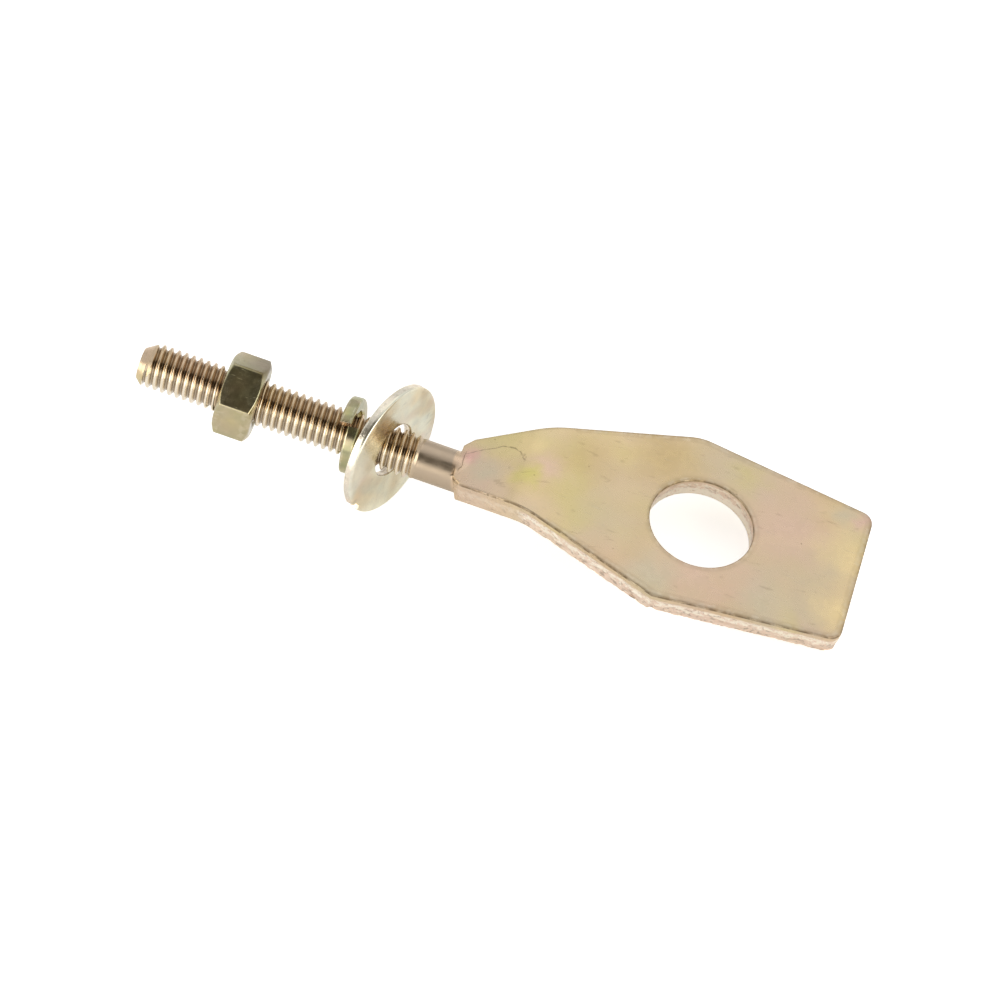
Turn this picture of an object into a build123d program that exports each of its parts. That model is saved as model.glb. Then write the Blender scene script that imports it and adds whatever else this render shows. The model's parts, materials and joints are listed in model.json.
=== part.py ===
"""Motorcycle chain adjuster: a cranked drawplate drawn out into an M6 stud, with its nut and washers.

Pieces are drawn in the adjuster's own axes: X runs along the stud towards the plate's tail, Y across
the plate and Z up through the axle hole. The stud's axis is the X axis, and X is 0 under the axle hole.
They are then laid down as the loose part lies on a table: on the flat washer's rim and the tail's edge.
"""
import os
from math import acos, asin, atan2, cos, degrees, hypot, radians, sin, tan

from build123d import *

# Plate
plate_thick = 3.0
axle_hole_dia = 13.6
plate_width = 27.2         # across the shoulders, the widest place
tail_width = 21.0
tail_reach = 21.0          # axle hole centre to tail edge
shoulder_back = 3.3        # axle hole centre back to the shoulders
tail_corner_r = 1.75
shoulder_r = 0.8
edge_roll = 0.3            # rounding that shearing leaves round the upper face

# Cranked neck
crank_drop = 5.15          # stud's axis below the plate's middle plane
crank_top = 21.8           # axle hole centre back to the top of the crank
crank_run = 9.6            # length of the slope along the stud
crank_bend_r = 8.0         # bend radius at the middle plane
tongue_lift = 0.85         # foot of the slope above the stud's axis: the shank meets the upper face
tongue_width = 8.0         # where its corners are cut off
tongue_cut = 1.1           # length of the cut corners along the stud
tongue_corner_r = 0.3

# Stud
thread_dia = 6.0
thread_pitch = 1.0
point_chamfer = 0.95       # turned-back free end, at 45 degrees
shank_length = 6.5         # foot of the crank to the first full thread
thread_length = 37.0

# Nut
nut_flats = 10.0
nut_height = 5.0
nut_from_end = 13.75       # stud's free end to the nut's middle
nut_turn = 28.0            # one flat turned from facing up towards -Y
nut_chamfer_angle = 30.0
nut_play = 0.05            # radial clearance on the thread
nut_mouth = 0.35           # radial depth of the countersunk mouths

# Spring washer
spring_width = 1.7         # radial width of its section
spring_thick = 1.6
spring_play = 0.6          # hole larger than the thread
spring_rise = 1.2          # how far the cut ends stand apart along the stud
spring_cut = 14.0          # angle taken out by the cut
spring_cut_turn = 25.0     # cut's middle turned from straight up towards -Y
spring_lean = 7.5          # hangs back from square on the sloping stud

# Flat washer
washer_od = 18.0
washer_thick = 1.2
washer_play = 1.4          # hole larger than the thread
washer_edge = 0.25         # rounding round the face it was stamped from
washer_bearing = 0.13      # radial clearance left where it leans on the stud
washer_seat = 3.0          # first full thread to the washer's middle
washers_apart = 0.45       # clear space between the two washers

# Stations along the stud, measured back from the axle hole's centre
crank_foot = crank_top + crank_run
thread_start = crank_foot + shank_length
stud_end = thread_start + thread_length
nut_back = stud_end - nut_from_end
washer_back = thread_start + washer_seat

# A rolled thread stands as far above its blank as it is cut below it
thread_rise = 0.325 * thread_pitch
thread_r = thread_dia / 2
shank_r = thread_r - thread_rise

# The crank's slope, the tip of its square end at the upper face, and where the tongue's corners are cut
crank_angle = degrees(atan2(crank_drop - tongue_lift, crank_run))
tongue_tip = crank_foot + plate_thick / 2 * sin(radians(crank_angle))
tongue_end = tongue_tip - tongue_cut

# Lie of the loose part: the upright washer's rim and the tail's lower edge touch the table
tail_underside = crank_drop - plate_thick / 2
rest_span = tail_reach + washer_back
rest_tilt = degrees(asin(washer_od / 2 / hypot(rest_span, tail_underside)) + atan2(tail_underside, rest_span))

# The flat washer leans until its hole all but bears on the stud, and stands upright on the table
washer_id = thread_dia + washer_play
washer_lean = degrees(
    acos((thread_dia + 2 * washer_bearing) / hypot(washer_id, washer_thick)) - atan2(washer_thick, washer_id)
)
washer_yaw = degrees(acos(cos(radians(washer_lean)) / cos(radians(rest_tilt))))

# The spring washer hangs just clear of the leaning flat washer
spring_id = thread_dia + spring_play
spring_od = spring_id + 2 * spring_width
washer_reach = spring_od / 2 * sin(radians(washer_lean)) + washer_thick / 2 * cos(radians(washer_lean))
spring_reach = (spring_thick + spring_rise) / 2 + spring_od / 2 * sin(radians(spring_lean))
spring_back = washer_back + washer_reach + spring_reach + washers_apart


def across_stud(back):
    """Plane square to the stud at a station: local x is +Y, local y is +Z, and it faces the tail."""
    return Plane(origin=(-back, 0, 0), x_dir=(0, 1, 0), z_dir=(1, 0, 0))


def turned(points):
    """Solid of revolution about the stud's axis from (along, radius) points, closed along the axis."""
    first, last = points[0][0], points[-1][0]
    profile = make_face(Polyline((first, 0), *points, (last, 0), close=True))
    return revolve(Plane.XZ * profile, Axis.X)


def bent_plate():
    """Sheared plate with its tongue, cranked down to the stud."""
    spare = plate_thick
    half = [
        (-tongue_tip - spare, tongue_width / 2 - tongue_cut),
        (-tongue_tip, tongue_width / 2 - tongue_cut),
        (-tongue_end, tongue_width / 2),
        (-shoulder_back, plate_width / 2),
        (tail_reach, tail_width / 2),
    ]
    half_radii = [0, 0, tongue_corner_r, shoulder_r, tail_corner_r]
    outline = FilletPolyline(
        *half,
        *[(x, -y) for x, y in reversed(half)],
        radius=half_radii + half_radii[::-1],
        close=True,
    )
    middle = FilletPolyline(
        (tail_reach + spare, crank_drop),
        (-crank_top, crank_drop),
        (-crank_foot, tongue_lift),
        radius=crank_bend_r,
    )
    strip = extrude(Plane.XZ * trace(middle, plate_thick), plate_width, both=True)
    plate = strip & extrude(make_face(outline), crank_drop + 2 * plate_thick, both=True)

    skin = plate.faces().filter_by(lambda face: face.normal_at().Z > 0.5)
    walls = plate.faces().filter_by(lambda face: abs(face.normal_at().Z) < 0.1)
    upper_rim = [edge for edge in skin.edges() if edge in walls.edges()]
    return fillet(upper_rim, edge_roll)


def adjuster_bolt():
    """Plate, cranked neck, plain shank and stud, all one piece."""
    rod = turned([
        (-crank_foot, shank_r),
        (-thread_start + thread_pitch / 2, shank_r),
        (-thread_start, thread_r),
        (-stud_end + point_chamfer, thread_r),
        (-stud_end, thread_r - point_chamfer),
    ])
    rod += Pos(-crank_foot, 0, 0) * Sphere(shank_r)
    axle_hole = Pos(0, 0, crank_drop) * Cylinder(axle_hole_dia / 2, 2 * plate_thick)
    return bent_plate() + rod - axle_hole


def hex_nut():
    """Hexagon nut, its corners turned back on both ends and its bore countersunk."""
    end = nut_height / 2
    corner_r = nut_flats / 2 / cos(radians(30))
    face_r = 0.95 * nut_flats / 2
    back_off = (corner_r - face_r) * tan(radians(nut_chamfer_angle))
    barrel = turned([(-end, face_r), (back_off - end, corner_r), (end - back_off, corner_r), (end, face_r)])
    bore_r = thread_r + nut_play
    mouth_r = bore_r + nut_mouth
    bore = turned([(-end, mouth_r), (nut_mouth - end, bore_r), (end - nut_mouth, bore_r), (end, mouth_r)])
    hexagon = Rot(Z=nut_turn) * RegularPolygon(nut_flats / 2, 6, major_radius=False)
    prism = extrude(across_stud(0) * hexagon, end, both=True)
    return Pos(-nut_back, 0, 0) * ((prism & barrel) - bore)


def spring_washer():
    """Split ring wound left-handed, so that its cut ends stand apart."""
    middle_r = (spring_id + spring_od) / 4
    turn = 1 - spring_cut / 360
    coil = Helix(spring_rise / turn, spring_rise, middle_r, lefthand=True)
    section = Plane(coil @ 0, x_dir=(1, 0, 0), z_dir=coil % 0) * Rectangle(spring_width, spring_thick)
    ring = sweep(section, path=coil, is_frenet=True)
    ring = Rot(Z=90 + spring_cut_turn - spring_cut / 2) * Pos(0, 0, -spring_rise / 2) * ring
    return Pos(-spring_back, 0, 0) * Rot(Y=-spring_lean) * (across_stud(0).location * ring)


def flat_washer():
    """Stamped ring, rounded round one face, standing upright on the table and leaning across the stud."""
    ring = Cylinder(washer_od / 2, washer_thick) - Cylinder(washer_id / 2, washer_thick)
    ring = fillet(ring.faces().sort_by(Axis.Z)[-1].edges(), washer_edge)
    upright = Pos(-washer_back, 0, 0) * Rot(Y=-rest_tilt) * Rot(Z=-washer_yaw)
    return upright * (across_stud(0).location * ring)


pieces = {
    "adjuster_bolt": adjuster_bolt(),
    "hex_nut": hex_nut(),
    "spring_washer": spring_washer(),
    "flat_washer": flat_washer(),
}
laid = {name: Rot(Y=rest_tilt) * piece for name, piece in pieces.items()}
box = Compound(list(laid.values())).bounding_box()
to_origin = Pos(-box.center().X, -box.center().Y, -box.min.Z)

os.makedirs("parts", exist_ok=True)
for name, piece in laid.items():
    export_step(to_origin * piece, f"parts/{name}.step")

lie = to_origin * Rot(Y=rest_tilt)
print("rest tilt", round(rest_tilt, 3), "washer yaw", round(washer_yaw, 3))
for label, place in {
    "axle hole": (0, 0, crank_drop),
    "stud end": (-stud_end, 0, 0),
    "nut": (-nut_back, 0, 0),
    "spring washer": (-spring_back, 0, 0),
    "flat washer": (-washer_back, 0, 0),
}.items():
    print(label, [round(value, 4) for value in (lie * Pos(*place)).position])
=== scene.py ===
"""Looks of a motorcycle chain adjuster: cranked drawplate with its stud, nut and two washers.

Meshes are made in millimetres in the adjuster's own axes: X along the stud towards the plate's tail,
Y across the plate and Z up through the axle hole. The stud's axis is the X axis, and X is 0 under the hole.
"""
import json
from math import acos, asin, atan2, cos, hypot, pi, radians, sin, tan

import bmesh
import bpy
import numpy as np
from mathutils import Matrix, Vector, noise


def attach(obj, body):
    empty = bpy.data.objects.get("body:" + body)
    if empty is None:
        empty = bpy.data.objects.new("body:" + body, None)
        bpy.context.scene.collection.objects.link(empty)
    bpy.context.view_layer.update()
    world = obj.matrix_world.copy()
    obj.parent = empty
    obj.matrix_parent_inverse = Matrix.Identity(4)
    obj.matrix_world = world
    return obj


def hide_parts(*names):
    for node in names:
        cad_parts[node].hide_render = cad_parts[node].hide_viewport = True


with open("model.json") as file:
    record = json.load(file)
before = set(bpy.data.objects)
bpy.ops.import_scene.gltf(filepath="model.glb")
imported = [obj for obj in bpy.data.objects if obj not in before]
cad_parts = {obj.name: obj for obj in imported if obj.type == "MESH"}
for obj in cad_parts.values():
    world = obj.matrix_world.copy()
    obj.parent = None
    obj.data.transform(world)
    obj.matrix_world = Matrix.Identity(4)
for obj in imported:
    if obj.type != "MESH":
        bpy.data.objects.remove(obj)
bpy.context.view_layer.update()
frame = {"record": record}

bl_info = {
    "name": "Chain Adjuster",
    "version": (1, 0, 0),
    "blender": (4, 5, 0),
    "location": "View3D > Sidebar > Adjuster",
    "description": "Builds a zinc plated motorcycle chain adjuster around its packed solids",
    "category": "Object",
}

MM = 0.001
AXLE_HOLE = next(mount for mount in frame["record"]["mounts"] if mount["name"] == "axle_hole")
HOLE_DIMS = AXLE_HOLE["dims"]


def length(name, description, millimetres):
    return bpy.props.FloatProperty(
        name=name, description=description, default=millimetres * MM, min=0.0, unit="LENGTH", precision=5
    )


def turn(name, description, degrees):
    return bpy.props.FloatProperty(
        name=name, description=description, default=radians(degrees), unit="ROTATION"
    )


def colour(name, description, *rgb):
    return bpy.props.FloatVectorProperty(
        name=name, description=description, default=rgb, size=3, min=0.0, max=1.0, subtype="COLOR"
    )


class AdjusterSizes(bpy.types.PropertyGroup):
    """Sizes of the four pieces"""

    plate_thick: length("Plate thickness", "Sheet that the plate is sheared from", HOLE_DIMS["length_mm"])
    hole_r: length("Axle hole radius", "Radius of the punched axle hole", HOLE_DIMS["r_mm"])
    plate_width: length("Plate width", "Across the shoulders", 27.2)
    tail_width: length("Tail width", "Across the tail", 21.0)
    tail_reach: length("Tail reach", "Axle hole's middle to the tail", 21.0)
    shoulder_back: length("Shoulders back", "Axle hole's middle back to the shoulders", 3.3)
    shoulder_r: length("Near shoulder radius", "Rounding of the near shoulder in plan", 0.8)
    far_shoulder_r: length("Far shoulder radius", "The far shoulder is dressed rounder", 6.0)
    tail_corner_r: length("Tail corner radius", "Rounding of the tail's corners in plan", 1.75)
    edge_roll: length("Edge roll", "Rounding that the shears leave round the upper face", 0.3)
    edge_burr: length("Lower edge", "Rounding of the lower edge", 0.14)

    crank_drop: length("Crank drop", "Stud's axis below the plate's middle plane", 5.15)
    crank_top: length("Crank top", "Axle hole's middle back to the top of the crank", 21.8)
    crank_run: length("Crank run", "Length of the slope along the stud", 9.6)
    crank_bend_r: length("Bend radius", "Bend radius at the sheet's middle", 8.0)
    tongue_lift: length("Tongue lift", "Foot of the slope above the stud's axis", 0.85)
    tongue_width: length("Tongue width", "Where the tongue's corners are cut off", 8.0)
    tongue_cut: length("Tongue cut", "Length of the cut corners along the stud", 1.1)
    neck_soft: length("Neck blend", "How softly the shank runs into the tongue", 0.5)
    elbow: length("Elbow", "Length over which the shank turns from the slope to the stud's line", 2.0)

    thread_dia: length("Thread diameter", "Over the crests", 6.0)
    thread_pitch: length("Thread pitch", "Crest to crest", 1.0)
    thread_depth: length("Thread depth", "Crest to root", 0.56)
    point_chamfer: length("Point chamfer", "Chamfer on the stud's free end", 0.95)
    shank_r: length("Shank radius", "Plain shank beside the tongue", 2.675)
    shank_length: length("Shank length", "Foot of the crank to the first full thread", 6.5)
    thread_length: length("Thread length", "First full thread to the free end", 37.0)

    nut_flats: length("Nut flats", "Across the nut's flats, a little under their nominal size", 9.84)
    nut_height: length("Nut height", "Along the stud", 5.0)
    nut_from_end: length("Nut from end", "Stud's free end to the nut's middle", 13.75)
    nut_turn: turn("Nut turn", "One flat turned from facing up towards the camera", 28.0)
    nut_play: length("Thread play", "Clearance between the nut's thread and the stud's", 0.05)

    spring_width: length("Split washer section", "Radial width of the section", 1.7)
    spring_thick: length("Split washer thickness", "Thickness of the section", 1.6)
    spring_play: length("Split washer play", "Hole larger than the thread", 0.6)
    spring_rise: length("Split washer rise", "How far the cut ends stand apart", 1.2)
    spring_cut: turn("Split washer cut", "Angle that the cut stands open", 4.5)
    spring_cut_turn: turn("Cut turn", "Cut's middle turned from straight up", 25.0)
    spring_lean: turn("Split washer lean", "Hangs back from square on the stud", 7.5)

    washer_od: length("Plain washer diameter", "Outside diameter", 18.0)
    washer_thick: length("Plain washer thickness", "Thickness", 1.2)
    washer_play: length("Plain washer play", "Hole larger than the thread", 1.4)
    washer_edge: length("Plain washer edge", "Rounding round the stamped face", 0.25)
    washer_bearing: length("Bearing gap", "Clearance where it leans on the stud", 0.13)
    washer_seat: length("Plain washer seat", "First full thread to the washer's middle", 3.0)
    washers_apart: length("Washers apart", "Clear space between the washers", 0.45)


class AdjusterFinish(bpy.types.PropertyGroup):
    """Colours of the zinc and chromate finish"""

    plate: colour("Plate", "Chromate on the plate and neck", 0.67, 0.52, 0.345)
    nut: colour("Nut", "Chromate on the nut", 0.42, 0.39, 0.23)
    spring: colour("Split washer", "Chromate on the split washer", 0.37, 0.36, 0.20)
    washer: colour("Plain washer", "Chromate on the plain washer", 0.88, 0.86, 0.71)
    sage: colour("Sage tint", "Grey green film", 0.60, 0.53, 0.385)
    rose: colour("Rose tint", "Pink film", 0.73, 0.51, 0.41)
    straw: colour("Straw tint", "Golden film", 0.84, 0.655, 0.36)
    olive: colour("Olive tint", "Brownish golden film", 0.61, 0.46, 0.235)
    lime: colour("Lime tint", "Yellow green film", 0.64, 0.57, 0.19)
    flush: colour("Flush", "Pink film beside the tongue's crease", 0.72, 0.43, 0.38)
    mint: colour("Mint tint", "Bluish film on the plain washer", 0.62, 0.66, 0.57)
    # Copper goes over the whole thread; it shows on the upper side, where the lower side's painted highlight
    # leaves it
    copper: colour("Copper tint", "Brownish red film on the thread's upper side", 0.62, 0.46, 0.30)
    shank: colour("Shank tint", "Greyish film on the plain shank", 0.48, 0.385, 0.29)
    # Painted shade darkening the nut's far upper flat
    brown: colour("Brown tint", "Brown film on the nut's far upper flat", 0.11, 0.07, 0.02)
    torn: colour("Torn metal", "Plated over the sheared walls", 0.88, 0.70, 0.60)
    # Bare zinc's colour also paints highlights: the thread's pale lower side and the bright breaks of the
    # sheared walls
    bare: colour("Bare zinc", "Rubbed edges and bright breaks", 0.96, 0.885, 0.75)
    # Grime's colour also paints shade: in the thread's roots, through the nut's bore and in the tongue's
    # crease and fold
    grime: colour("Grime", "Dark film in the thread's roots and pits", 0.13, 0.085, 0.045)


class AdjusterStage(bpy.types.PropertyGroup):
    """Camera, floor and light"""

    azimuth: turn("Camera azimuth", "Round the part, from its near side towards its tail", 15.465)
    elevation: turn("Camera elevation", "Above the floor", 50.085)
    distance: length("Camera distance", "From the point looked at", 519.93)
    aim_right: length("Aim right", "Point looked at, right of the origin in the view", 0.578)
    aim_up: length("Aim up", "Point looked at, above the origin in the view", 2.0065)
    lens: bpy.props.FloatProperty(
        name="Lens", description="Focal length on a 36 mm sensor", default=144.0, subtype="DISTANCE_CAMERA"
    )
    floor: colour("Floor", "Plain pale floor", 0.86, 0.86, 0.86)
    key_power: bpy.props.FloatProperty(
        name="Key light", description="Power of the soft light above the back", default=0.55, unit="POWER"
    )


def adjuster_axes(sizes):
    """The adjuster's own axes in the row frame, from the axle hole."""
    up = Vector(AXLE_HOLE["axis"])
    across = Vector((0, 1, 0))
    axes = Matrix((across.cross(up), across, up)).transposed().to_4x4()
    axes.translation = Vector(AXLE_HOLE["pos_m"]) - up * sizes.crank_drop
    return axes


class Millimetres:
    """The sizes in millimetres, with the stations along the stud measured back from the axle hole."""

    def __init__(self, sizes):
        for name, setting in sizes.bl_rna.properties.items():
            value = getattr(sizes, name)
            if isinstance(value, float):
                setattr(self, name, value if setting.unit == "ROTATION" else value / MM)
        self.crank_foot = self.crank_top + self.crank_run
        self.crank_angle = atan2(self.crank_drop - self.tongue_lift, self.crank_run)
        self.tongue_tip = self.crank_foot + self.plate_thick / 2 * sin(self.crank_angle)
        self.tongue_end = self.tongue_tip - self.tongue_cut
        self.thread_start = self.crank_foot + self.shank_length
        self.stud_end = self.thread_start + self.thread_length
        self.nut_back = self.stud_end - self.nut_from_end
        self.washer_back = self.thread_start + self.washer_seat
        self.thread_r = self.thread_dia / 2
        self.thread_root = self.thread_r - self.thread_depth

        underside = self.crank_drop - self.plate_thick / 2
        span = self.tail_reach + self.washer_back
        self.rest_tilt = asin(self.washer_od / 2 / hypot(span, underside)) + atan2(underside, span)
        self.washer_id = self.thread_dia + self.washer_play
        slant = hypot(self.washer_id, self.washer_thick)
        bears = acos((self.thread_dia + 2 * self.washer_bearing) / slant)
        lean = bears - atan2(self.washer_thick, self.washer_id)
        self.washer_yaw = acos(cos(lean) / cos(self.rest_tilt))

        self.spring_id = self.thread_dia + self.spring_play
        self.spring_od = self.spring_id + 2 * self.spring_width
        spring_r = self.spring_od / 2
        washer_reach = spring_r * sin(lean) + self.washer_thick / 2 * cos(lean)
        spring_reach = (self.spring_thick + self.spring_rise) / 2 + spring_r * sin(self.spring_lean)
        self.spring_back = self.washer_back + washer_reach + spring_reach + self.washers_apart


# Meshes: points nearer than the weld are one, and edges that turn more than the sharp angle stay sharp
WELD = 0.002
SLIVER = 0.001
SHARP = radians(40)


class Shell:
    """Points, faces and surface marks of one piece, gathered patch by patch in millimetres."""

    def __init__(self, *marks):
        self.points, self.faces, self.count = [], [], 0
        self.marks = {mark: [] for mark in marks}

    def patch(self, grid, closed=False, shift=0, **marks):
        """Adds a grid of points, rows by columns, joined into quads.

        A closed patch joins its last column to the first, or some rows on in the first, as on a helix.
        """
        rows, columns = grid.shape[:2]
        index = np.arange(rows * columns).reshape(rows, columns) + self.count
        left, right = index, np.roll(index, -1, axis=1)
        if shift:
            right = right[: rows - shift].copy()
            right[:, -1] = index[shift:, 0]
            left = index[: rows - shift]
        quads = np.stack([left[:-1], right[:-1], right[1:], left[1:]], axis=-1)
        if not closed:
            quads = quads[:, :-1]
        self.points.append(grid.reshape(-1, 3))
        self.faces.append(quads.reshape(-1, 4))
        self.count += rows * columns
        for mark, values in self.marks.items():
            values.append(np.broadcast_to(marks.get(mark, 0.0), (rows, columns)).reshape(-1))

    def piece(self, name, axes):
        """Closes the patches into one mesh, shades it and puts it in place.

        Each point keeps its millimetres in the piece's own axes, which the textures follow.
        """
        mesh = bpy.data.meshes.new(name)
        points = np.concatenate(self.points)
        mesh.from_pydata(points * MM, [], np.concatenate(self.faces).tolist())
        place = mesh.attributes.new("place", "FLOAT_VECTOR", "POINT")
        place.data.foreach_set("vector", points.reshape(-1))
        for mark, values in self.marks.items():
            mesh.attributes.new(mark, "FLOAT", "POINT").data.foreach_set("value", np.concatenate(values))
        work = bmesh.new()
        work.from_mesh(mesh)
        bmesh.ops.remove_doubles(work, verts=work.verts, dist=WELD * MM)
        bmesh.ops.dissolve_degenerate(work, edges=work.edges, dist=SLIVER * MM)
        bmesh.ops.recalc_face_normals(work, faces=work.faces)
        open_edges = sum(not edge.is_manifold for edge in work.edges)
        if open_edges:
            print(name, "open edges", open_edges)
        work.to_mesh(mesh)
        work.free()
        mesh.transform(axes)
        mesh.shade_smooth()
        mesh.set_sharp_from_angle(angle=SHARP)
        piece = bpy.data.objects.new(name, mesh)
        bpy.context.scene.collection.objects.link(piece)
        return piece


def dress(piece, material, body, node):
    """Gives a piece its finish, and its place on the frame."""
    piece.data.materials.append(material)
    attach(piece, body)
    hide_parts(node)


def smooth(value, low, high):
    """Eases from 0 at the low end to 1 at the high end, which may be the smaller number."""
    share = np.clip((np.asarray(value, float) - low) / (high - low), 0, 1)
    return share * share * (3 - 2 * share)


def unit(vectors):
    """Vectors along the last axis, made one long."""
    return vectors / np.linalg.norm(vectors, axis=-1, keepdims=True)


def grid_of(x, y, z):
    return np.stack(np.broadcast_arrays(x, y, z), axis=-1).astype(float)


def about_stud(along, radius, turns):
    """Grid of points round the stud's axis, turned from across the plate towards up."""
    return grid_of(along, radius * np.cos(turns), radius * np.sin(turns))


def roughness_of(points, size, amount):
    """Random heights of a rough surface at points in millimetres, the same on each run."""
    flat = points.reshape(-1, 3) / size
    heights = [noise.noise(Vector(point)) for point in flat]
    return amount * np.array(heights).reshape(points.shape[:-1])


# Torn metal of sheared walls
SMEAR_SIZE = np.array([1.7, 1.7, 0.55])
SMEAR_DEPTH = 0.13
CRUMB_SIZE = 0.45
CRUMB_DEPTH = 0.035
CRUMB_SHIFT = 7
TORN_BACK = 0.05


def torn_depth(points):
    """How far a sheared wall is torn back from its plane: crumbs on smears drawn along it."""
    smears = roughness_of(points, SMEAR_SIZE, SMEAR_DEPTH)
    crumbs = roughness_of(points + CRUMB_SHIFT, CRUMB_SIZE, CRUMB_DEPTH)
    return np.minimum(smears + crumbs - TORN_BACK, 0)


# Thread: rows of half a pitch and their heights from root to crest, rounded as a rolled thread is
HALF_ROWS = np.array([0.0, 0.06, 0.12, 0.18, 0.27, 0.36, 0.43, 0.5])
HALF_HEIGHTS = np.array([1.0, 0.99, 0.94, 0.82, 0.48, 0.17, 0.04, 0.0])
THREAD_ROWS = np.concatenate([HALF_ROWS, 1 - HALF_ROWS[-2:0:-1]])
THREAD_HEIGHTS = np.concatenate([HALF_HEIGHTS, HALF_HEIGHTS[-2:0:-1]])
CREST_FROM_END = 3.28  # free end to the first full crest on the upper outline
CREST_TURN = radians(38.9)
SPARE_LAPS = 2


def thread_rows(mm, low, high, turns):
    """Stations and heights of a helical thread between two ends, rows by columns at the given turns."""
    crest = -mm.stud_end + CREST_FROM_END - mm.thread_pitch * CREST_TURN / (2 * pi)
    first = int(np.floor((low - crest) / mm.thread_pitch)) - SPARE_LAPS
    last = int(np.ceil((high - crest) / mm.thread_pitch)) + SPARE_LAPS
    laps = np.arange(first, last)
    rows = (laps[:, None] + THREAD_ROWS).reshape(-1)
    heights = np.tile(THREAD_HEIGHTS, len(laps))
    along = crest + mm.thread_pitch * (rows[:, None] + turns / (2 * pi))
    return np.clip(along, low, high), np.broadcast_to(heights[:, None], along.shape)


# Neck: one ring of points round the bar's section, the same number on the round stud
TOP_POINTS = 36  # across the upper face, and across the lower one
LAND_POINTS = 12  # down a sheared wall, between its rounded edges
ROLL_ARC = np.radians([0, 30, 60, 90])
WALL_POINTS = LAND_POINTS + 2 * len(ROLL_ARC) - 2
RING_POINTS = 2 * (TOP_POINTS + WALL_POINTS)
FIRST_TURN = pi / 2 - (TOP_POINTS - 1) * pi / RING_POINTS
RING_TURNS = FIRST_TURN + np.arange(RING_POINTS) * 2 * pi / RING_POINTS
PLATE_START = 19.0  # axle hole's middle back to where the plate ends and the neck's rings begin
FLAT_RINGS, BEND_RINGS, RAMP_RINGS, ELBOW_RINGS = 10, 14, 56, 34
ELBOW_CROWD = 1.4  # crowds the elbow's rings towards the slope
TONGUE_END_R = 0.3  # length over which the tongue's square end gives way to the shank
EVEN_FROM = 0.1  # past the crank's foot, where the ring's points begin to even out
SHARPEN_FROM = 0.4  # past the crank's foot, where the blend begins to sharpen
LEAST_BLEND = 0.01
HALVINGS = 30
FAR_OUT = 2.5  # shank radii, further out than any ray meets the shank


def wall_profile(mm):
    """Inset and height of a sheared wall, from the upper face's edge down to the lower face's."""
    roll, burr, half = mm.edge_roll, mm.edge_burr, mm.plate_thick / 2
    sine, cosine = np.sin(ROLL_ARC), np.cos(ROLL_ARC)
    land = np.linspace(half - roll, burr - half, LAND_POINTS + 2)[1:-1]
    inset = np.concatenate([roll * (1 - sine), np.zeros(LAND_POINTS), burr * (1 - cosine)])
    height = np.concatenate([half - roll * (1 - cosine), land, burr * (1 - sine) - half])
    return inset, height


def bar_ring(mm):
    """Share across, inset and height of each point of the bar's section, from its +Y upper edge round."""
    side, wall = np.linspace(1, -1, TOP_POINTS), np.ones(WALL_POINTS)
    across = np.concatenate([side, -wall, -side, wall])
    face = np.ones(TOP_POINTS)
    insets, heights = (
        np.concatenate([down[0] * face, down[1:-1], down[-1] * face, down[-2:0:-1]])
        for down in wall_profile(mm)
    )
    return across, insets, heights


def half_width(mm, along):
    """Half the plate's width between the tongue's tip and the shoulders."""
    tongue = mm.tongue_width / 2
    slope = (mm.plate_width / 2 - tongue) / (mm.tongue_end - mm.shoulder_back)
    past = along + mm.tongue_end
    return tongue + np.where(past > 0, slope * past, np.maximum(past, -mm.tongue_cut))


def crank_path(mm):
    """Places and slopes of the neck's middle, from the flat plate down the slope to the round shank."""
    tangent = mm.crank_bend_r * tan(mm.crank_angle / 2)
    bend_start = tangent - mm.crank_top
    flat = grid_of(np.linspace(-PLATE_START, bend_start, FLAT_RINGS), mm.crank_drop, 0.0)
    turns = np.linspace(0, mm.crank_angle, BEND_RINGS)
    sagged = mm.crank_bend_r * (1 - np.cos(turns))
    bend = grid_of(bend_start - mm.crank_bend_r * np.sin(turns), mm.crank_drop - sagged, turns)
    foot = np.array([-mm.crank_foot, mm.tongue_lift, mm.crank_angle])
    ramp = np.linspace(bend[-1], foot, RAMP_RINGS)
    share = np.linspace(0, 1, ELBOW_RINGS) ** ELBOW_CROWD
    left = 1 - smooth(share, 0, 1)
    elbow = grid_of(-mm.crank_foot - mm.elbow * share, mm.tongue_lift * left, mm.crank_angle * left)
    return np.concatenate([flat[:-1], bend[:-1], ramp[:-1], elbow])


def soft_max(first, second, blend):
    """The larger of two, rounded where they cross."""
    near = np.clip(1 - np.abs(first - second) / blend, 0, 1)
    return np.maximum(first, second) + near * near * blend / 4


def shank_reach(mm, centre_x, centre_z, slope, turned):
    """How far the round shank and its domed end reach along each ray of tilted rings."""
    near, far = np.zeros(turned.shape), np.full(turned.shape, FAR_OUT * mm.shank_r)
    for _ in range(HALVINGS):
        ray = (near + far) / 2
        out, up = ray * np.cos(turned), ray * np.sin(turned)
        past_dome = np.maximum(centre_x - up * np.sin(slope) + mm.crank_foot, 0)
        from_middle = past_dome ** 2 + out ** 2 + (centre_z + up * np.cos(slope)) ** 2
        inside = from_middle < mm.shank_r ** 2
        near, far = np.where(inside, ray, near), np.where(inside, far, ray)
    return near


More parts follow.
